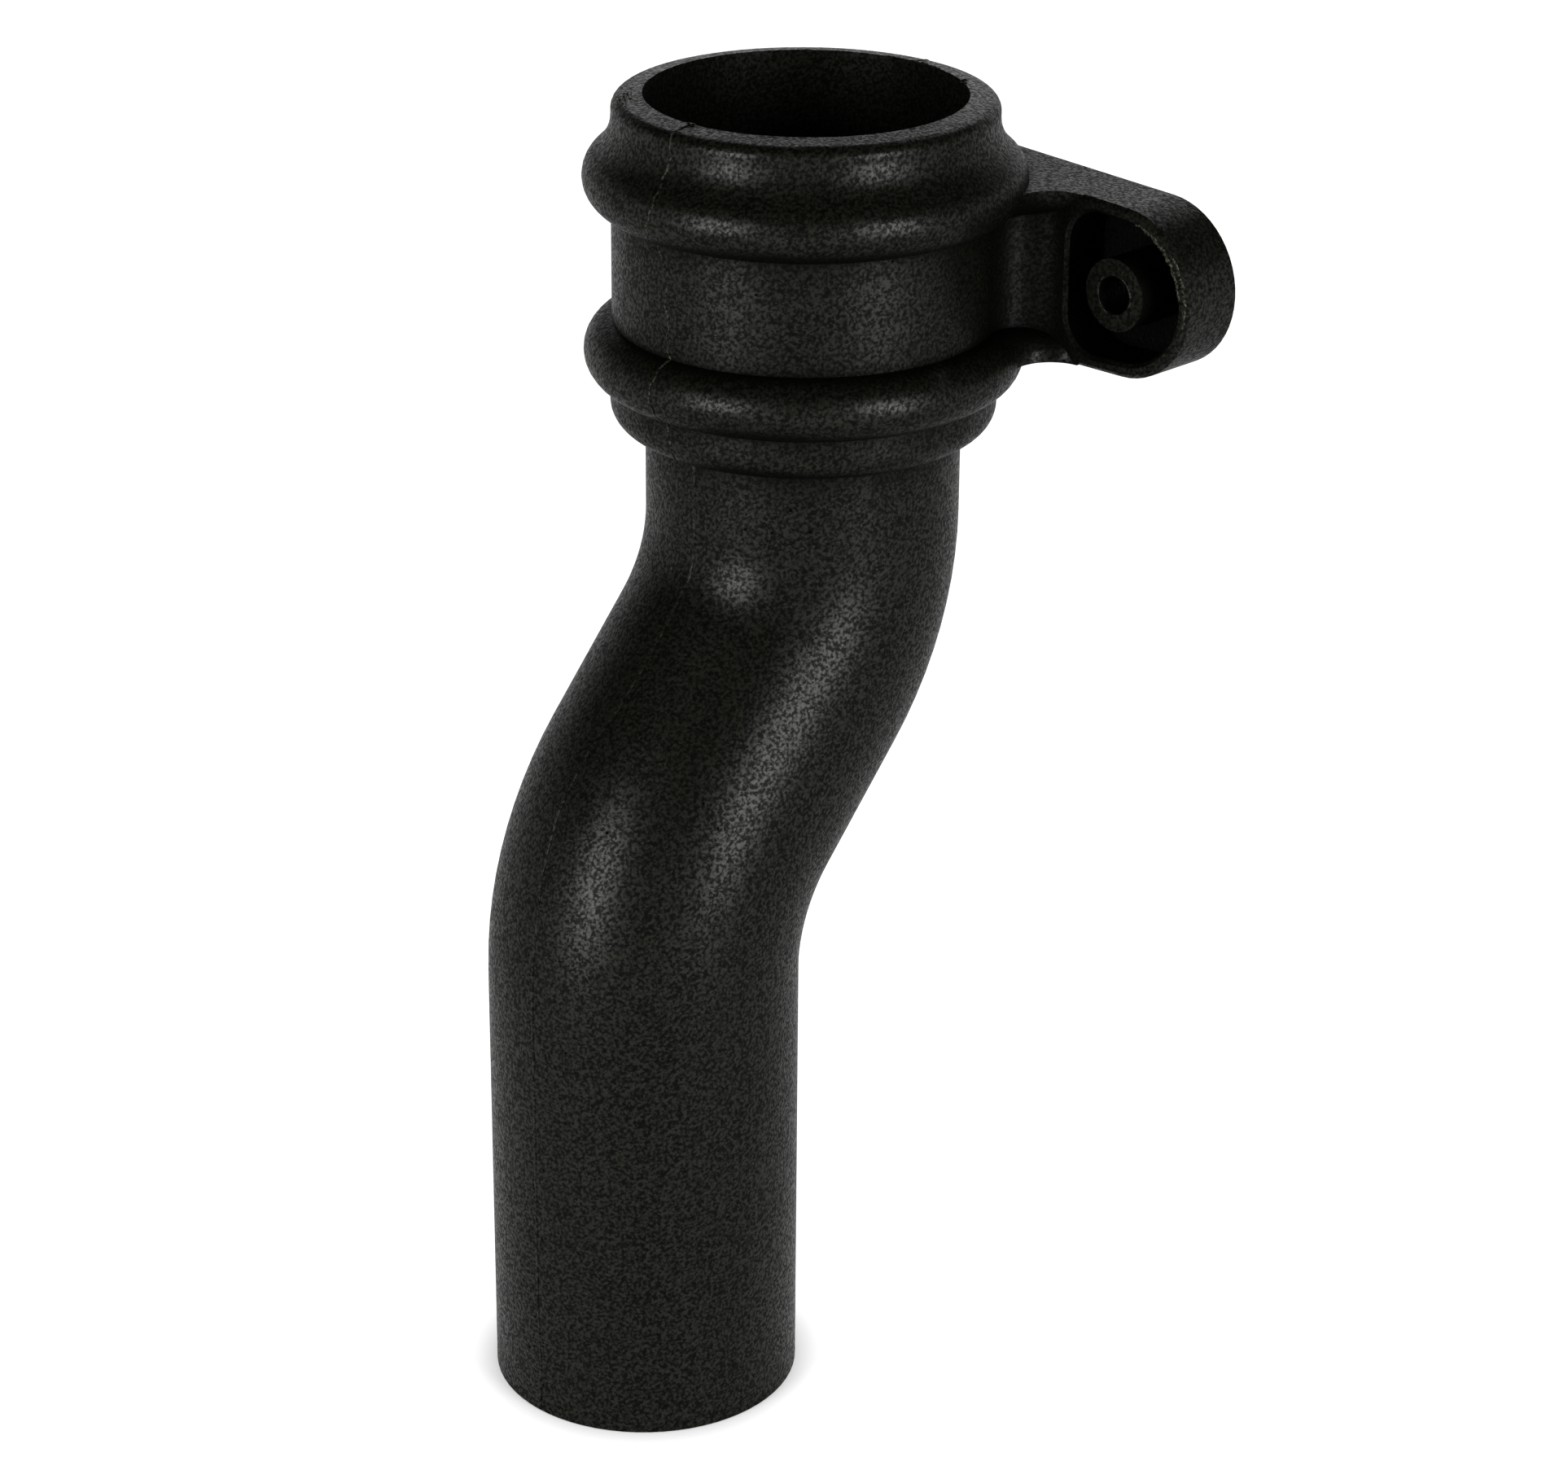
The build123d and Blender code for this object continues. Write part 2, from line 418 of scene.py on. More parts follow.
def new_group(name, inputs, outputs):
    """An empty shader node group with named inputs and outputs."""
    group = bpy.data.node_groups.new(name, "ShaderNodeTree")
    for label, kind, default in inputs:
        socket = group.interface.new_socket(name=label, in_out="INPUT", socket_type=kind)
        socket.default_value = default
    for label in outputs:
        group.interface.new_socket(name=label, in_out="OUTPUT", socket_type="NodeSocketFloat")
    return group, group.nodes.new("NodeGroupInput"), group.nodes.new("NodeGroupOutput")


def fed(tree, made, index, value):
    """Feed a node's input from a link or a plain value."""
    if isinstance(value, bpy.types.NodeSocket):
        tree.links.new(value, made.inputs[index])
    else:
        made.inputs[index].default_value = value


def math_node(tree, operation, first, second=None, clamp=False):
    """A Math node fed by links or plain numbers."""
    made = tree.nodes.new("ShaderNodeMath")
    made.operation = operation
    made.use_clamp = clamp
    fed(tree, made, 0, first)
    if second is not None:
        fed(tree, made, 1, second)
    return made.outputs[0]


def vector_node(tree, operation, first, second):
    """A Vector Math node fed by links or plain vectors."""
    made = tree.nodes.new("ShaderNodeVectorMath")
    made.operation = operation
    fed(tree, made, 0, first)
    fed(tree, made, 1, second)
    return made.outputs[0]


def span(tree, value, low, high, start=0.0, finish=1.0):
    """A value carried smoothly from one range to another, and held at its ends."""
    made = tree.nodes.new("ShaderNodeMapRange")
    made.interpolation_type = "SMOOTHSTEP"
    for index, number in enumerate((value, low, high, start, finish)):
        fed(tree, made, index, number)
    return made.outputs[0]


def mixed(tree, amount, first, second):
    """Two colours mixed by a mask."""
    made = tree.nodes.new("ShaderNodeMix")
    made.data_type = "RGBA"
    for index, value in ((0, amount), (6, first), (7, second)):
        fed(tree, made, index, value)
    return made.outputs[2]


def noise(tree, vector, scale, detail=0.0, rough=0.5):
    """A noise value on a vector."""
    made = tree.nodes.new("ShaderNodeTexNoise")
    made.inputs["Detail"].default_value = detail
    made.inputs["Roughness"].default_value = rough
    fed(tree, made, "Scale", scale)
    fed(tree, made, "Vector", vector)
    return made.outputs["Fac"]


def cells(tree, vector, scale):
    """Distance to the nearest of scattered points, in cells."""
    made = tree.nodes.new("ShaderNodeTexVoronoi")
    made.feature = "F1"
    fed(tree, made, "Scale", scale)
    fed(tree, made, "Vector", vector)
    return made.outputs["Distance"]


def grain_group():
    """Pebbled mould grain: domed pebbles of uneven outline, finer noise on them, and a few pits.

    A pebble's height is one less the square of the distance to its middle. Height is in metres,
    so its Bump node takes a distance of one.
    """
    group, entry, leave = new_group(
        "Pebble grain",
        [
            ("Vector", "NodeSocketVector", (0, 0, 0)),
            ("Pebble size", "NodeSocketFloat", 0.001),
            ("Depth", "NodeSocketFloat", 0.0001),
        ],
        ["Height", "Pebble", "Pit"],
    )
    # Each pattern's scale is a share of the pebbles' own, so a lower one is coarser
    warp_scale, fine_scale, pit_scale, patch_scale, slow_scale = 0.9, 0.95, 0.17, 0.05, 0.08
    # The warp reaches so many pebble sizes, and the dome is so much of the relief
    warp_reach, dome_share = 2.2, 0.35
    # Metres of the slow waves and of a pit, and the pit's round edge in cells
    slow_height, pit_depth = 0.0002, 0.00015
    pit_floor, pit_rim = 0.05, 0.1
    # The relief where a pebble's flank begins and where its top does
    flank, top = 0.53, 1.04
    where, size, depth = entry.outputs[0], entry.outputs[1], entry.outputs[2]
    scale = math_node(group, "DIVIDE", 1.0, size)
    warp = noise(group, where, math_node(group, "MULTIPLY", scale, warp_scale))
    shift = math_node(group, "MULTIPLY", warp, math_node(group, "MULTIPLY", size, warp_reach))
    bent = vector_node(group, "ADD", where, shift)
    distance = cells(group, bent, scale)
    dome = math_node(group, "SUBTRACT", 1.0, math_node(group, "MULTIPLY", distance, distance))
    fine = noise(group, where, math_node(group, "MULTIPLY", scale, fine_scale), 1.5, 0.55)
    relief = math_node(group, "ADD", math_node(group, "MULTIPLY", dome, dome_share), fine)
    spots = cells(group, where, math_node(group, "MULTIPLY", scale, pit_scale))
    sparse = noise(group, where, math_node(group, "MULTIPLY", scale, patch_scale))
    spot = span(group, spots, pit_floor, pit_rim, 1.0, 0.0)
    pit = math_node(group, "MULTIPLY", spot, span(group, sparse, 0.5, 0.6))
    slow = noise(group, where, math_node(group, "MULTIPLY", scale, slow_scale), 1.0)
    height = math_node(group, "MULTIPLY", relief, depth)
    height = math_node(group, "ADD", height, math_node(group, "MULTIPLY", slow, slow_height))
    height = math_node(group, "SUBTRACT", height, math_node(group, "MULTIPLY", pit, pit_depth))
    group.links.new(height, leave.inputs[0])
    group.links.new(span(group, relief, flank, top), leave.inputs[1])
    group.links.new(pit, leave.inputs[2])
    return group


def scuff_group():
    """Rubbed patches, broken up by finer noise, and scattered pale specks, as masks."""
    group, entry, leave = new_group(
        "Scuffs",
        [("Vector", "NodeSocketVector", (0, 0, 0)), ("Amount", "NodeSocketFloat", 0.4)],
        ["Rubbed", "Speck"],
    )
    where, amount = entry.outputs[0], entry.outputs[1]
    # Patterns to the metre
    patches, breaks, specks = 30.0, 900.0, 55.0
    # A speck's solid middle and its edge, in cells
    speck_core, speck_edge = 0.014, 0.024
    # The noise where a patch is full, and where it starts with no scuffs and with all of them
    full, none, most = 0.86, 0.8, 0.5
    patch = noise(group, where, patches, 2.0, 0.6)
    broken = noise(group, where, breaks, 1.0, 0.7)
    start = math_node(group, "SUBTRACT", none, math_node(group, "MULTIPLY", amount, none - most))
    rubbed = span(group, patch, start, full)
    rubbed = math_node(group, "MULTIPLY", rubbed, span(group, broken, 0.42, 0.66, 0.1))
    speck = span(group, cells(group, where, specks), speck_core, speck_edge, 1.0, 0.0)
    group.links.new(rubbed, leave.inputs[0])
    group.links.new(speck, leave.inputs[1])
    return group


def placed(tree, name, build, where, values):
    """A shared node group, built the first time it is asked for, with its own values here."""
    made = tree.nodes.new("ShaderNodeGroup")
    made.node_tree = bpy.data.node_groups.get(name) or build()
    fed(tree, made, 0, where)
    for index, value in enumerate(values, start=1):
        made.inputs[index].default_value = value
    return made


def painted_shade_mask(tree, finish):
    """A mask of painted shade: one in the open, less in hollows, in tight creases and on undersides.

    It is the product of a fade by the normal's height and of two fades by how open the place is,
    over a long and a short reach. Where it is low, the colour and the glossy skin are darkened to
    stand in for shade.
    """
    downward, level, underside = -0.8, 0.0, 0.3
    shut, free = 0.5, 0.95
    facing = tree.nodes.new("ShaderNodeSeparateXYZ")
    tree.links.new(tree.nodes.new("ShaderNodeTexCoord").outputs["Normal"], facing.inputs[0])
    mask = span(tree, facing.outputs["Z"], downward, level, underside, 1.0)
    for reach in (finish.shelter, finish.crease):
        around = tree.nodes.new("ShaderNodeAmbientOcclusion")
        around.samples = 4
        around.only_local = True
        around.inputs["Distance"].default_value = reach
        mask = math_node(tree, "MULTIPLY", mask, span(tree, around.outputs["AO"], shut, free))
    return mask


def roughness(tree, where, finish, pebbles, worn):
    """Roughness: even on the pebbles' tops, and higher in hollows, rubbed places and pits."""
    drift, in_hollow, in_worn, in_pit = 0.06, 0.3, 0.15, 0.5
    clouds = 18.0
    uneven = noise(tree, where, clouds, 1.0)
    hollow = math_node(tree, "SUBTRACT", 1.0, pebbles.outputs["Pebble"])
    rough = finish.roughness - drift
    causes = ((uneven, 2 * drift), (hollow, in_hollow), (worn, in_worn), (pebbles.outputs["Pit"], in_pit))
    for cause, amount in causes:
        rough = math_node(tree, "ADD", rough, math_node(tree, "MULTIPLY", cause, amount))
    return math_node(tree, "MINIMUM", rough, 1.0)


def plastic(name, finish, rub=1.0, grain=1.0, lighten=1.0):
    """Black moulded plastic with pebble grain, pits, scuffs and a glossy skin on the pebbles.

    rub scales the scuffs, grain the depth of the grain and lighten the colour, so that trimmed
    edges and seams differ from the flanks, and so that rubbed rim edges carry a painted highlight.
    The grain's hollows and pits, and sheltered places, creases and undersides, get painted shade:
    a darker colour and less glossy skin.
    """
    hollow_skin, worn_share = 0.13, 0.5
    material = bpy.data.materials.new(name)
    material.use_nodes = True
    tree = material.node_tree
    shader = tree.nodes["Principled BSDF"]
    where = tree.nodes.new("ShaderNodeTexCoord").outputs["Object"]
    depth = finish.grain_depth * grain
    pebbles = placed(tree, "Pebble grain", grain_group, where, (finish.grain_size, depth))
    scuffs = placed(tree, "Scuffs", scuff_group, where, (finish.scuff_amount * rub,))
    free_of_painted_shade = painted_shade_mask(tree, finish)
    painted_shade = (*finish.painted_shade, 1.0)
    base = (*[value * lighten for value in finish.base], 1.0)
    # Painted shade: darker colour in the grain's hollows and its pits, and in sheltered places, creases and
    # undersides
    tone = mixed(tree, pebbles.outputs["Pebble"], painted_shade, base)
    tone = mixed(tree, pebbles.outputs["Pit"], tone, PIT_PAINTED_SHADE)
    tone = mixed(tree, free_of_painted_shade, painted_shade, tone)
    worn = math_node(tree, "ADD", scuffs.outputs["Rubbed"], scuffs.outputs["Speck"], clamp=True)
    tone = mixed(tree, math_node(tree, "MULTIPLY", worn, worn_share), tone, (*finish.scuffed, 1.0))
    skin = span(tree, pebbles.outputs["Pebble"], 0.0, 1.0, finish.skin * hollow_skin, finish.skin)
    # Painted shade also takes the glossy skin off sheltered places, creases and undersides
    skin = math_node(tree, "MULTIPLY", skin, free_of_painted_shade)
    skin = math_node(tree, "MULTIPLY", skin, math_node(tree, "SUBTRACT", 1.0, pebbles.outputs["Pit"]))
    bump = tree.nodes.new("ShaderNodeBump")
    bump.inputs["Strength"].default_value = 1.0
    bump.inputs["Distance"].default_value = 1.0
    tree.links.new(pebbles.outputs["Height"], bump.inputs["Height"])
    tree.links.new(tone, shader.inputs["Base Color"])
    tree.links.new(skin, shader.inputs["Coat Weight"])
    tree.links.new(roughness(tree, where, finish, pebbles, worn), shader.inputs["Roughness"])
    tree.links.new(bump.outputs[0], shader.inputs["Normal"])
    shader.inputs["Coat Roughness"].default_value = finish.skin_roughness
    shader.inputs["Specular IOR Level"].default_value = finish.gloss
    return material


class PLINTH_OT_moulding(bpy.types.Operator):
    """Give the moulding its black pebbled plastic"""

    bl_idname = "plinth.moulding"
    bl_label = "Finish the moulding"

    def execute(self, context):
        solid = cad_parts.get(NODE)
        if solid is None:
            raise RuntimeError("the moulding's solid is missing")
        material = plastic("Moulded black plastic", context.scene.plinth_finish)
        if not solid.material_slots:
            solid.data.materials.append(material)
        for entry in solid.material_slots:
            entry.material = material
        return {"FINISHED"}


class PLINTH_OT_pipe_seams(bpy.types.Operator):
    """Lay the parting seams down the front and the back of the pipe"""

    bl_idname = "plinth.pipe_seams"
    bl_label = "Pipe seams"

    def execute(self, context):
        sizes, marks = context.scene.plinth_sizes, context.scene.plinth_marks
        finish = context.scene.plinth_finish
        material = plastic("Seam plastic", finish, rub=1.5, grain=0.5, lighten=1.6)
        length = bend_lengths(sizes)[1]
        # Metres up the centreline
        first, last, fade = 0.0004, length - 0.0006, 0.002
        foot, low_bend, high_bend, nick = 0.012, sizes.spigot_length + 0.028, length - 0.05, length - 0.033
        along = np.linspace(first, last, 620)
        # How far the front seam strays from its lean at the foot and at both bends
        front = marks.seam_lean + math.radians(0.9) * swell(along, foot, 0.009)
        front = front - math.radians(5.0) * swell(along, low_bend, 0.014)
        front = front - math.radians(1.0) * swell(along, high_bend, 0.006)
        front = front + wander(along, 3, (0.011, 0.0043), (0.0028, 0.0016))
        back = math.pi + marks.seam_lean / 2 + wander(along, 5, (0.05, 0.012), (0.01, 0.003))
        parts = []
        for azimuth, seed in ((front, 11), (back, 12)):
            points, normals = pipe_surface(sizes, along, azimuth)
            uneven = 0.72 + wander(along, seed, (0.031, 0.0087, 0.0031), (0.16, 0.12, 0.12))
            uneven += 1.3 * swell(along, nick, 0.003)
            ends = np.clip(np.minimum(along, length - along) / fade, 0.05, 1.0)
            widths = marks.seam_width * (0.8 + 0.25 * uneven) * ends
            heights = marks.seam_height * np.clip(uneven, 0.15, 2.0) * ends
            parts.append(ridge(points, normals, widths, heights))
        add_mesh("pipe_seams", parts, material)
        return {"FINISHED"}


class PLINTH_OT_socket_flash(bpy.types.Operator):
    """Lay the flash line up the front and the back of the socket and over its lip"""

    bl_idname = "plinth.socket_flash"
    bl_label = "Socket flash"

    def execute(self, context):
        sizes, marks = context.scene.plinth_sizes, context.scene.plinth_marks
        finish = context.scene.plinth_finish
        material = plastic("Flash plastic", finish, rub=1.5, grain=0.5, lighten=4.0)
        # The flash fades in over millimetres at its foot, and out over rings at the bore's edge
        start_fade, end_fade = 1.5, 8
        parts = []
        for turn, seed in ((0.0, 21), (math.pi, 22)):
            azimuth_of = partial(self.azimuth, turn + marks.seam_lean, seed)
            points, normals, height = socket_line(sizes, azimuth_of, 620)
            rings_left = len(height) - np.arange(len(height))
            ends = np.clip(np.minimum(height / start_fade, rings_left / end_fade), 0.1, 1.0)
            uneven = 0.6 + wander(height, seed + 4, (17.0, 5.2, 1.7), (0.25, 0.2, 0.18))
            crossing = self.crossing(height)
            widths = marks.flash_width * (0.55 + 0.45 * crossing + 0.2 * uneven) * ends
            heights = marks.flash_height * np.clip(0.35 * uneven + 0.75 * crossing, 0.08, 1.2) * ends
            parts.append(ridge(points, normals, widths, heights))
        add_mesh("socket_flash", parts, material)
        return {"FINISHED"}

    def azimuth(self, lean, seed, height):
        """The lean of the seam, a swerve under the upper bead, and a little wander."""
        swerve = -math.radians(4.5) * swell(height, UPPER_BEAD - 7.0, 3.5)
        settle = -math.radians(1.5) * swell(height, (LOWER_BEAD + UPPER_BEAD) / 2, 11.0)
        return lean + swerve + settle + wander(height, seed, (9.0, 3.1), (0.008, 0.004))

    def crossing(self, height):
        """Where the flash grows: beside both beads and over the lip."""
        beside_lower = swell(height, LOWER_BEAD + 7.6, 1.8) + 0.8 * swell(height, LOWER_BEAD - 7.1, 1.6)
        return beside_lower + swell(height, UPPER_BEAD + 7.7, 3.5) + 0.9 * swell(height, MOUTH, 0.9)


class PLINTH_OT_mouth_burrs(bpy.types.Operator):
    """Leave trimmed burrs on the mouth's inner edge, and the torn patch on the outer round"""

    bl_idname = "plinth.mouth_burrs"
    bl_label = "Mouth burrs"

    def execute(self, context):
        finish = context.scene.plinth_finish
        trimmed = plastic("Trimmed plastic", finish, rub=1.0, grain=0.5, lighten=1.2)
        add_mesh("mouth_burrs", self.inner_edge(context), trimmed)
        torn = plastic("Torn plastic", finish, rub=2.5, grain=0.6, lighten=7.0)
        add_mesh("torn_patch", self.torn_patch(context), torn)
        return {"FINISHED"}

    def inner_edge(self, context):
        """Burrs by azimuth, reach to each side and size: five that show, and sixteen small ones."""
        random = np.random.default_rng(41)
        spots = [(3.5, 2.2, 1.5), (178, 9.0, 0.9), (192, 5.0, 0.6), (150, 3.0, 0.8), (151.8, 1.4, 1.5)]
        turns = random.uniform(-180, 180, 16)
        spots += [(turn, random.uniform(1, 5), random.uniform(0.2, 0.5)) for turn in turns]
        radius, height, tilt = BORE_EDGE + 0.1, MOUTH - 0.1, 0.35
        return [self.burr(context, *spot, radius, height, tilt) for spot in spots]

    def torn_patch(self, context):
        """Ridges side by side on the lip's outer round, each shorter and further round by degrees."""
        first, stride, longest, size, tilt = -43.0, 2.5, 7.5, 0.9, -0.3
        parts = []
        for step, (radius, height) in enumerate(TORN_RIDGES):
            place = first + stride * step
            parts.append(self.burr(context, place, longest - step, size, radius, height, tilt))
        return parts

    def burr(self, context, azimuth, reach, size, radius, height, tilt):
        """One burr round the mouth: a ridge on an arc, with an uneven height that fades at its ends.

        azimuth and reach are in degrees, radius and height in millimetres, and tilt leans the
        ridge towards the bore.
        """
        squat = 0.6
        sizes, marks = context.scene.plinth_sizes, context.scene.plinth_marks
        turn = np.radians(np.linspace(azimuth - reach, azimuth + reach, 40))
        outward = np.stack([np.sin(turn), -np.cos(turn), np.zeros_like(turn)], axis=-1)
        path = outward * radius / 1000
        path[:, 1] += sizes.offset
        path[:, 2] = socket_base(sizes) + height / 1000
        normals = unit(np.array([0, 0, 1.0]) - tilt * outward)
        share = np.sin(np.linspace(0.12, math.pi - 0.12, len(turn))) ** 0.6
        share = share * (1 + wander(turn, int(abs(azimuth)) + 1, (0.11, 0.04), (0.25, 0.2)))
        widths, heights = marks.burr_width * size * share, marks.burr_height * size * share * squat
        return ridge(path, normals, widths, heights)


class PLINTH_OT_fixing_burrs(bpy.types.Operator):
    """Raise the burred ring round each fixing hole"""

    bl_idname = "plinth.fixing_burrs"
    bl_label = "Fixing hole burrs"

    def execute(self, context):
        sizes, marks = context.scene.plinth_sizes, context.scene.plinth_marks
        finish = context.scene.plinth_finish
        material = plastic("Burr plastic", finish, rub=1.4, grain=0.4, lighten=1.6)
        middle = fixing_level(sizes)
        boss_face = sizes.offset + sizes.bead_crest - sizes.boss_front
        seat, waver, squat = 0.00035, 0.00008, 0.7
        turn = np.linspace(0, 2 * math.pi, 96, endpoint=False)
        normals = np.tile(TO_FRONT, (len(turn), 1))
        parts = []
        for side in (1, -1):
            radius = sizes.fixing_hole + seat + waver * np.sin(3 * turn + side)
            x = side * sizes.fixing_x + radius * np.cos(turn)
            path = np.stack([x, np.full_like(turn, boss_face), middle + radius * np.sin(turn)], axis=-1)
            rise = 0.5 + 0.4 * np.cos(turn) ** 2 + 0.1 * np.sin(7 * turn)
            widths = marks.burr_width * (0.6 + 0.15 * np.cos(5 * turn + side))
            parts.append(ridge(path, normals, widths, marks.burr_height * squat * rise, closed=True))
        add_mesh("fixing_burrs", parts, material)
        return {"FINISHED"}


class PLINTH_OT_rim_edges(bpy.types.Operator):
    """Lay rubbed ridges on the two edges of each ear's rim along its round end, pale as a painted highlight
    """

    bl_idname = "plinth.rim_edges"
    bl_label = "Rubbed rim edges with painted highlight"

    def execute(self, context):
        sizes, marks = context.scene.plinth_sizes, context.scene.plinth_marks
        finish = context.scene.plinth_finish
        # Seven times paler than the plastic: a painted highlight on the rubbed edges
        material = plastic("Rubbed edge plastic with painted highlight", finish, rub=2.5, grain=0.6, lighten=7.0)
        middle = fixing_level(sizes)
        rim_face = sizes.offset + sizes.bead_crest - sizes.ear_depth
        # An edge's radius, and the angles to the level at which its rubbed stretch with painted highlight
        # ends
        stretches = ((RIM_INNER, 78, 6), (RIM_OUTER, 40, -14))
        parts = []
        for side in (1, -1):
            for radius, above, below in stretches:
                turn = np.radians(np.linspace(above, below, 90))
                reach = radius + wander(turn, int(radius), (0.23, 0.07), (0.12, 0.08))
                x = side * (sizes.fixing_x + reach * np.cos(turn) / 1000)
                z = middle + reach * np.sin(turn) / 1000
                path = np.stack([x, np.full_like(turn, rim_face), z], axis=-1)
                normals = np.tile(TO_FRONT, (len(turn), 1))
                share = np.sin(np.linspace(0.15, math.pi - 0.15, len(turn))) ** 0.5
                share = share * (0.9 + wander(turn, int(radius) + 7, (0.17, 0.045), (0.25, 0.25)))
                parts.append(ridge(path, normals, marks.rubbed_highlight_width * share, marks.rubbed_highlight_height * share))
        add_mesh("rim_edges", parts, material)
        return {"FINISHED"}


class PLINTH_OT_studio(bpy.types.Operator):
    """Set the floor, the surround, the lamps and the camera"""

    bl_idname = "plinth.studio"
    bl_label = "Studio"

    def execute(self, context):
        settings = context.scene.plinth_studio
        context.scene.view_settings.view_transform = "Standard"
        self.floor(context, settings)
        self.surround(context.scene, settings)
        box = (settings.lamp_width, settings.lamp_height)
        rise = settings.lamp_rise
        back_box = (settings.back_size, settings.back_size)
        self.softbox(context, "Left softbox", settings.left_power, settings.left_turn, rise, box)
        self.softbox(context, "Right softbox", settings.right_power, settings.right_turn, rise, box)
        turn, rise = settings.back_turn, settings.back_rise
        self.softbox(context, "Back lamp", settings.back_power, turn, rise, back_box)
        self.camera(context, settings)
        return {"FINISHED"}

    def camera(self, context, settings):
        """The photograph's camera, from its place and the directions of its view and its frame."""
        camera = bpy.data.cameras.new("Camera")
        camera.lens = settings.lens
        camera.sensor_width = 36.0
        camera.clip_start = 0.01
        camera.clip_end = 20.0
        viewer = bpy.data.objects.new("Camera", camera)
        context.collection.objects.link(viewer)
        ahead = Vector((-0.6526, 0.6407, -0.4044)).normalized()
        right = Vector((0.6984, 0.7157, 0.0068)).normalized()
        turned = Matrix((right, right.cross(ahead), -ahead)).transposed().to_4x4()
        viewer.matrix_world = Matrix.Translation(settings.camera_at) @ turned
        context.scene.camera = viewer

    def floor(self, context, settings):
        """A wide flat floor that the camera and the reflections see as white, but for the lamps' shadows and
        a painted contact shadow.
        """
        # The floor's half width, its gap under the part, and how uneven and dull it is
        reach, gap = 3.0, 0.0002
        uneven, clouds, dull, sheen = 0.98, 1.5, 0.9, 0.1
        shut = 0.3
        level = SOLID_BOUNDS[0][2] - gap
        sides = ((-reach, -reach), (reach, -reach), (reach, reach), (-reach, reach))
        corners = [(x, y, level) for x, y in sides]
        mesh = bpy.data.meshes.new("Floor")
        mesh.from_pydata(corners, [], [(0, 1, 2, 3)])
        material = bpy.data.materials.new("Pale floor")
        material.use_nodes = True
        tree = material.node_tree
        shader = tree.nodes["Principled BSDF"]
        where = tree.nodes.new("ShaderNodeTexCoord").outputs["Object"]
        low = (*[value * uneven for value in settings.floor], 1.0)
        tone = mixed(tree, noise(tree, where, clouds, 1.0), low, (*settings.floor, 1.0))
        tree.links.new(tone, shader.inputs["Base Color"])
        shader.inputs["Roughness"].default_value = dull
        shader.inputs["Specular IOR Level"].default_value = sheen
        shader.inputs["Emission Color"].default_value = (1.0, 1.0, 1.0, 1.0)
        # Painted contact shadow: the white that the camera and reflections see dims where the object is near
        painted_contact_shadow = tree.nodes.new("ShaderNodeAmbientOcclusion")
        painted_contact_shadow.samples = 8
        painted_contact_shadow.inputs["Distance"].default_value = settings.contact_reach
        least, most = settings.floor_lift * (1 - settings.contact), settings.floor_lift
        lift = span(tree, painted_contact_shadow.outputs["AO"], shut, 1.0, least, most)
        lift = math_node(tree, "MULTIPLY", self.seen(tree), lift)
        tree.links.new(lift, shader.inputs["Emission Strength"])
        mesh.materials.append(material)
        plane = bpy.data.objects.new("Floor", mesh)
        context.collection.objects.link(plane)

    def seen(self, tree):
        """One for what the camera sees, directly, in a reflection or through glass."""
        path = tree.nodes.new("ShaderNodeLightPath")
        camera, glass = path.outputs["Is Camera Ray"], path.outputs["Is Transmission Ray"]
        direct = math_node(tree, "MAXIMUM", camera, glass)
        return math_node(tree, "MAXIMUM", direct, path.outputs["Is Glossy Ray"])

    def surround(self, scene, settings):
        """A plain surround, white all round and fading to a dark ceiling overhead."""
        world = bpy.data.worlds.new("Studio surround")
        scene.world = world
        world.use_nodes = True
        tree = world.node_tree
        background = tree.nodes["Background"]
        direction = tree.nodes.new("ShaderNodeTexCoord").outputs["Generated"]
        parted = tree.nodes.new("ShaderNodeSeparateXYZ")
        tree.links.new(direction, parted.inputs[0])
        white_up_to, dark_from = 0.1, 0.4
        overhead = span(tree, parted.outputs["Z"], white_up_to, dark_from, 1.0, settings.ceiling)
        tree.links.new(overhead, background.inputs["Color"])
        strength = span(tree, self.seen(tree), 0.0, 1.0, settings.sky, 1.0)
        tree.links.new(strength, background.inputs["Strength"])

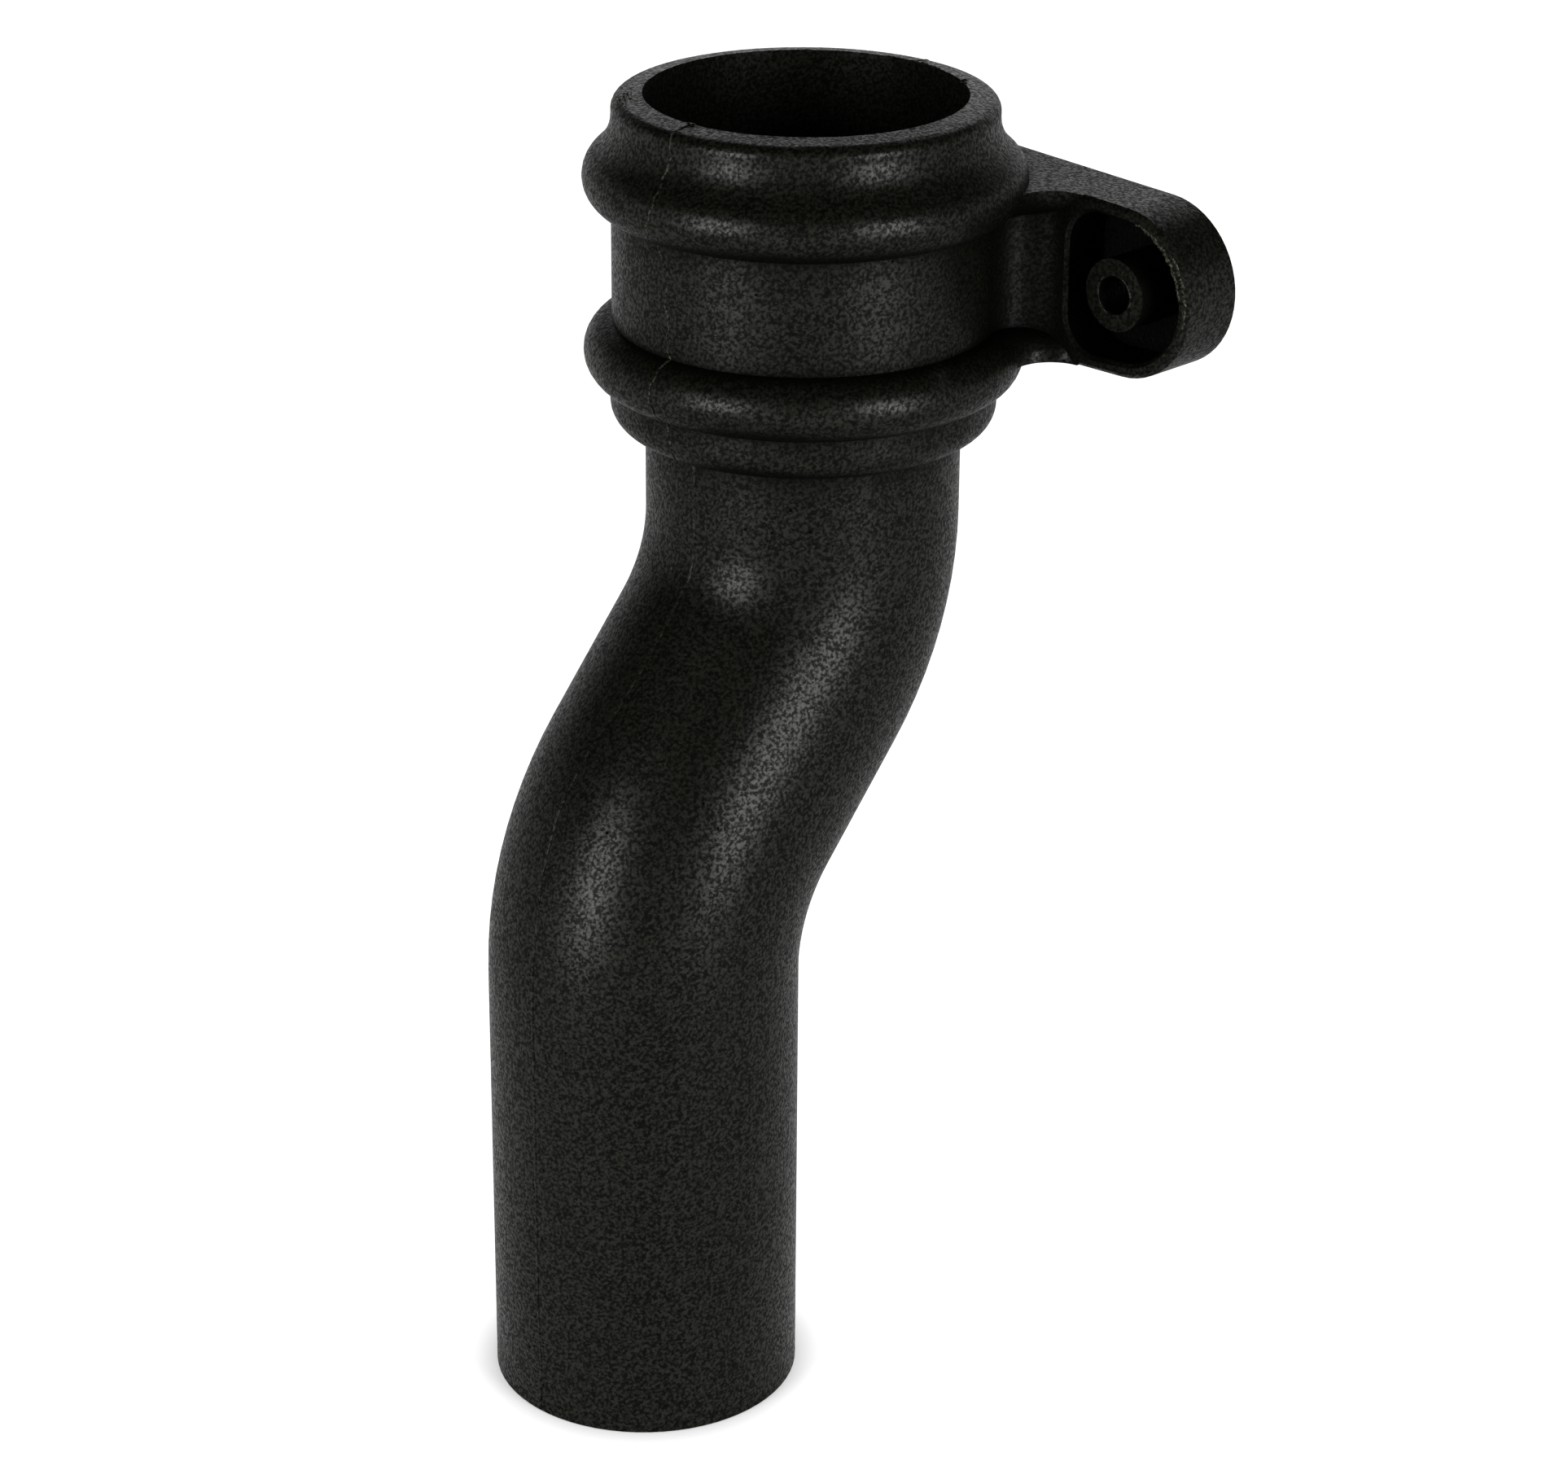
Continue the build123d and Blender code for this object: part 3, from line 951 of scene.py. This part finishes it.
    def softbox(self, context, name, power, turn, rise, size):
        """A rectangular lamp at a turn and a rise from the object's middle, turned to face it."""
        lamp = bpy.data.lights.new(name, "AREA")
        lamp.shape = "RECTANGLE"
        lamp.size, lamp.size_y = size
        lamp.energy = power
        holder = bpy.data.objects.new(name, lamp)
        context.collection.objects.link(holder)
        target = (Vector(SOLID_BOUNDS[0]) + Vector(SOLID_BOUNDS[1])) / 2
        level = math.cos(rise)
        ray = Vector((level * math.cos(turn), level * math.sin(turn), math.sin(rise)))
        place = target + ray * context.scene.plinth_studio.lamp_distance
        holder.matrix_world = Matrix.Translation(place) @ ray.to_track_quat("Z", "Y").to_matrix().to_4x4()


class PLINTH_PT_panel(bpy.types.Panel):
    """Sizes, finish and studio of the plinth offset"""

    bl_idname = "PLINTH_PT_panel"
    bl_label = "Plinth Offset"
    bl_space_type = "VIEW_3D"
    bl_region_type = "UI"
    bl_category = "Plinth Offset"

    def draw(self, context):
        for name in SETTINGS:
            group = getattr(context.scene, name)
            box = self.layout.box()
            for key in group.__annotations__:
                box.prop(group, key)
        for operator in STEPS:
            self.layout.operator(operator.bl_idname)


SETTINGS = {
    "plinth_sizes": PipeSizes,
    "plinth_marks": MarkSizes,
    "plinth_finish": MouldingFinish,
    "plinth_studio": StudioSettings,
}
STEPS = (
    PLINTH_OT_moulding,
    PLINTH_OT_pipe_seams,
    PLINTH_OT_socket_flash,
    PLINTH_OT_mouth_burrs,
    PLINTH_OT_fixing_burrs,
    PLINTH_OT_rim_edges,
    PLINTH_OT_studio,
)
CLASSES = (*SETTINGS.values(), *STEPS, PLINTH_PT_panel)


def register():
    for item in CLASSES:
        bpy.utils.register_class(item)
    for name, group in SETTINGS.items():
        setattr(bpy.types.Scene, name, bpy.props.PointerProperty(type=group))


def unregister():
    for name in SETTINGS:
        delattr(bpy.types.Scene, name)
    for item in reversed(CLASSES):
        bpy.utils.unregister_class(item)


def main():
    register()
    bpy.ops.plinth.moulding()
    bpy.ops.plinth.pipe_seams()
    bpy.ops.plinth.socket_flash()
    bpy.ops.plinth.mouth_burrs()
    bpy.ops.plinth.fixing_burrs()
    bpy.ops.plinth.rim_edges()
    bpy.ops.plinth.studio()


if __name__ == "__main__":
    main()
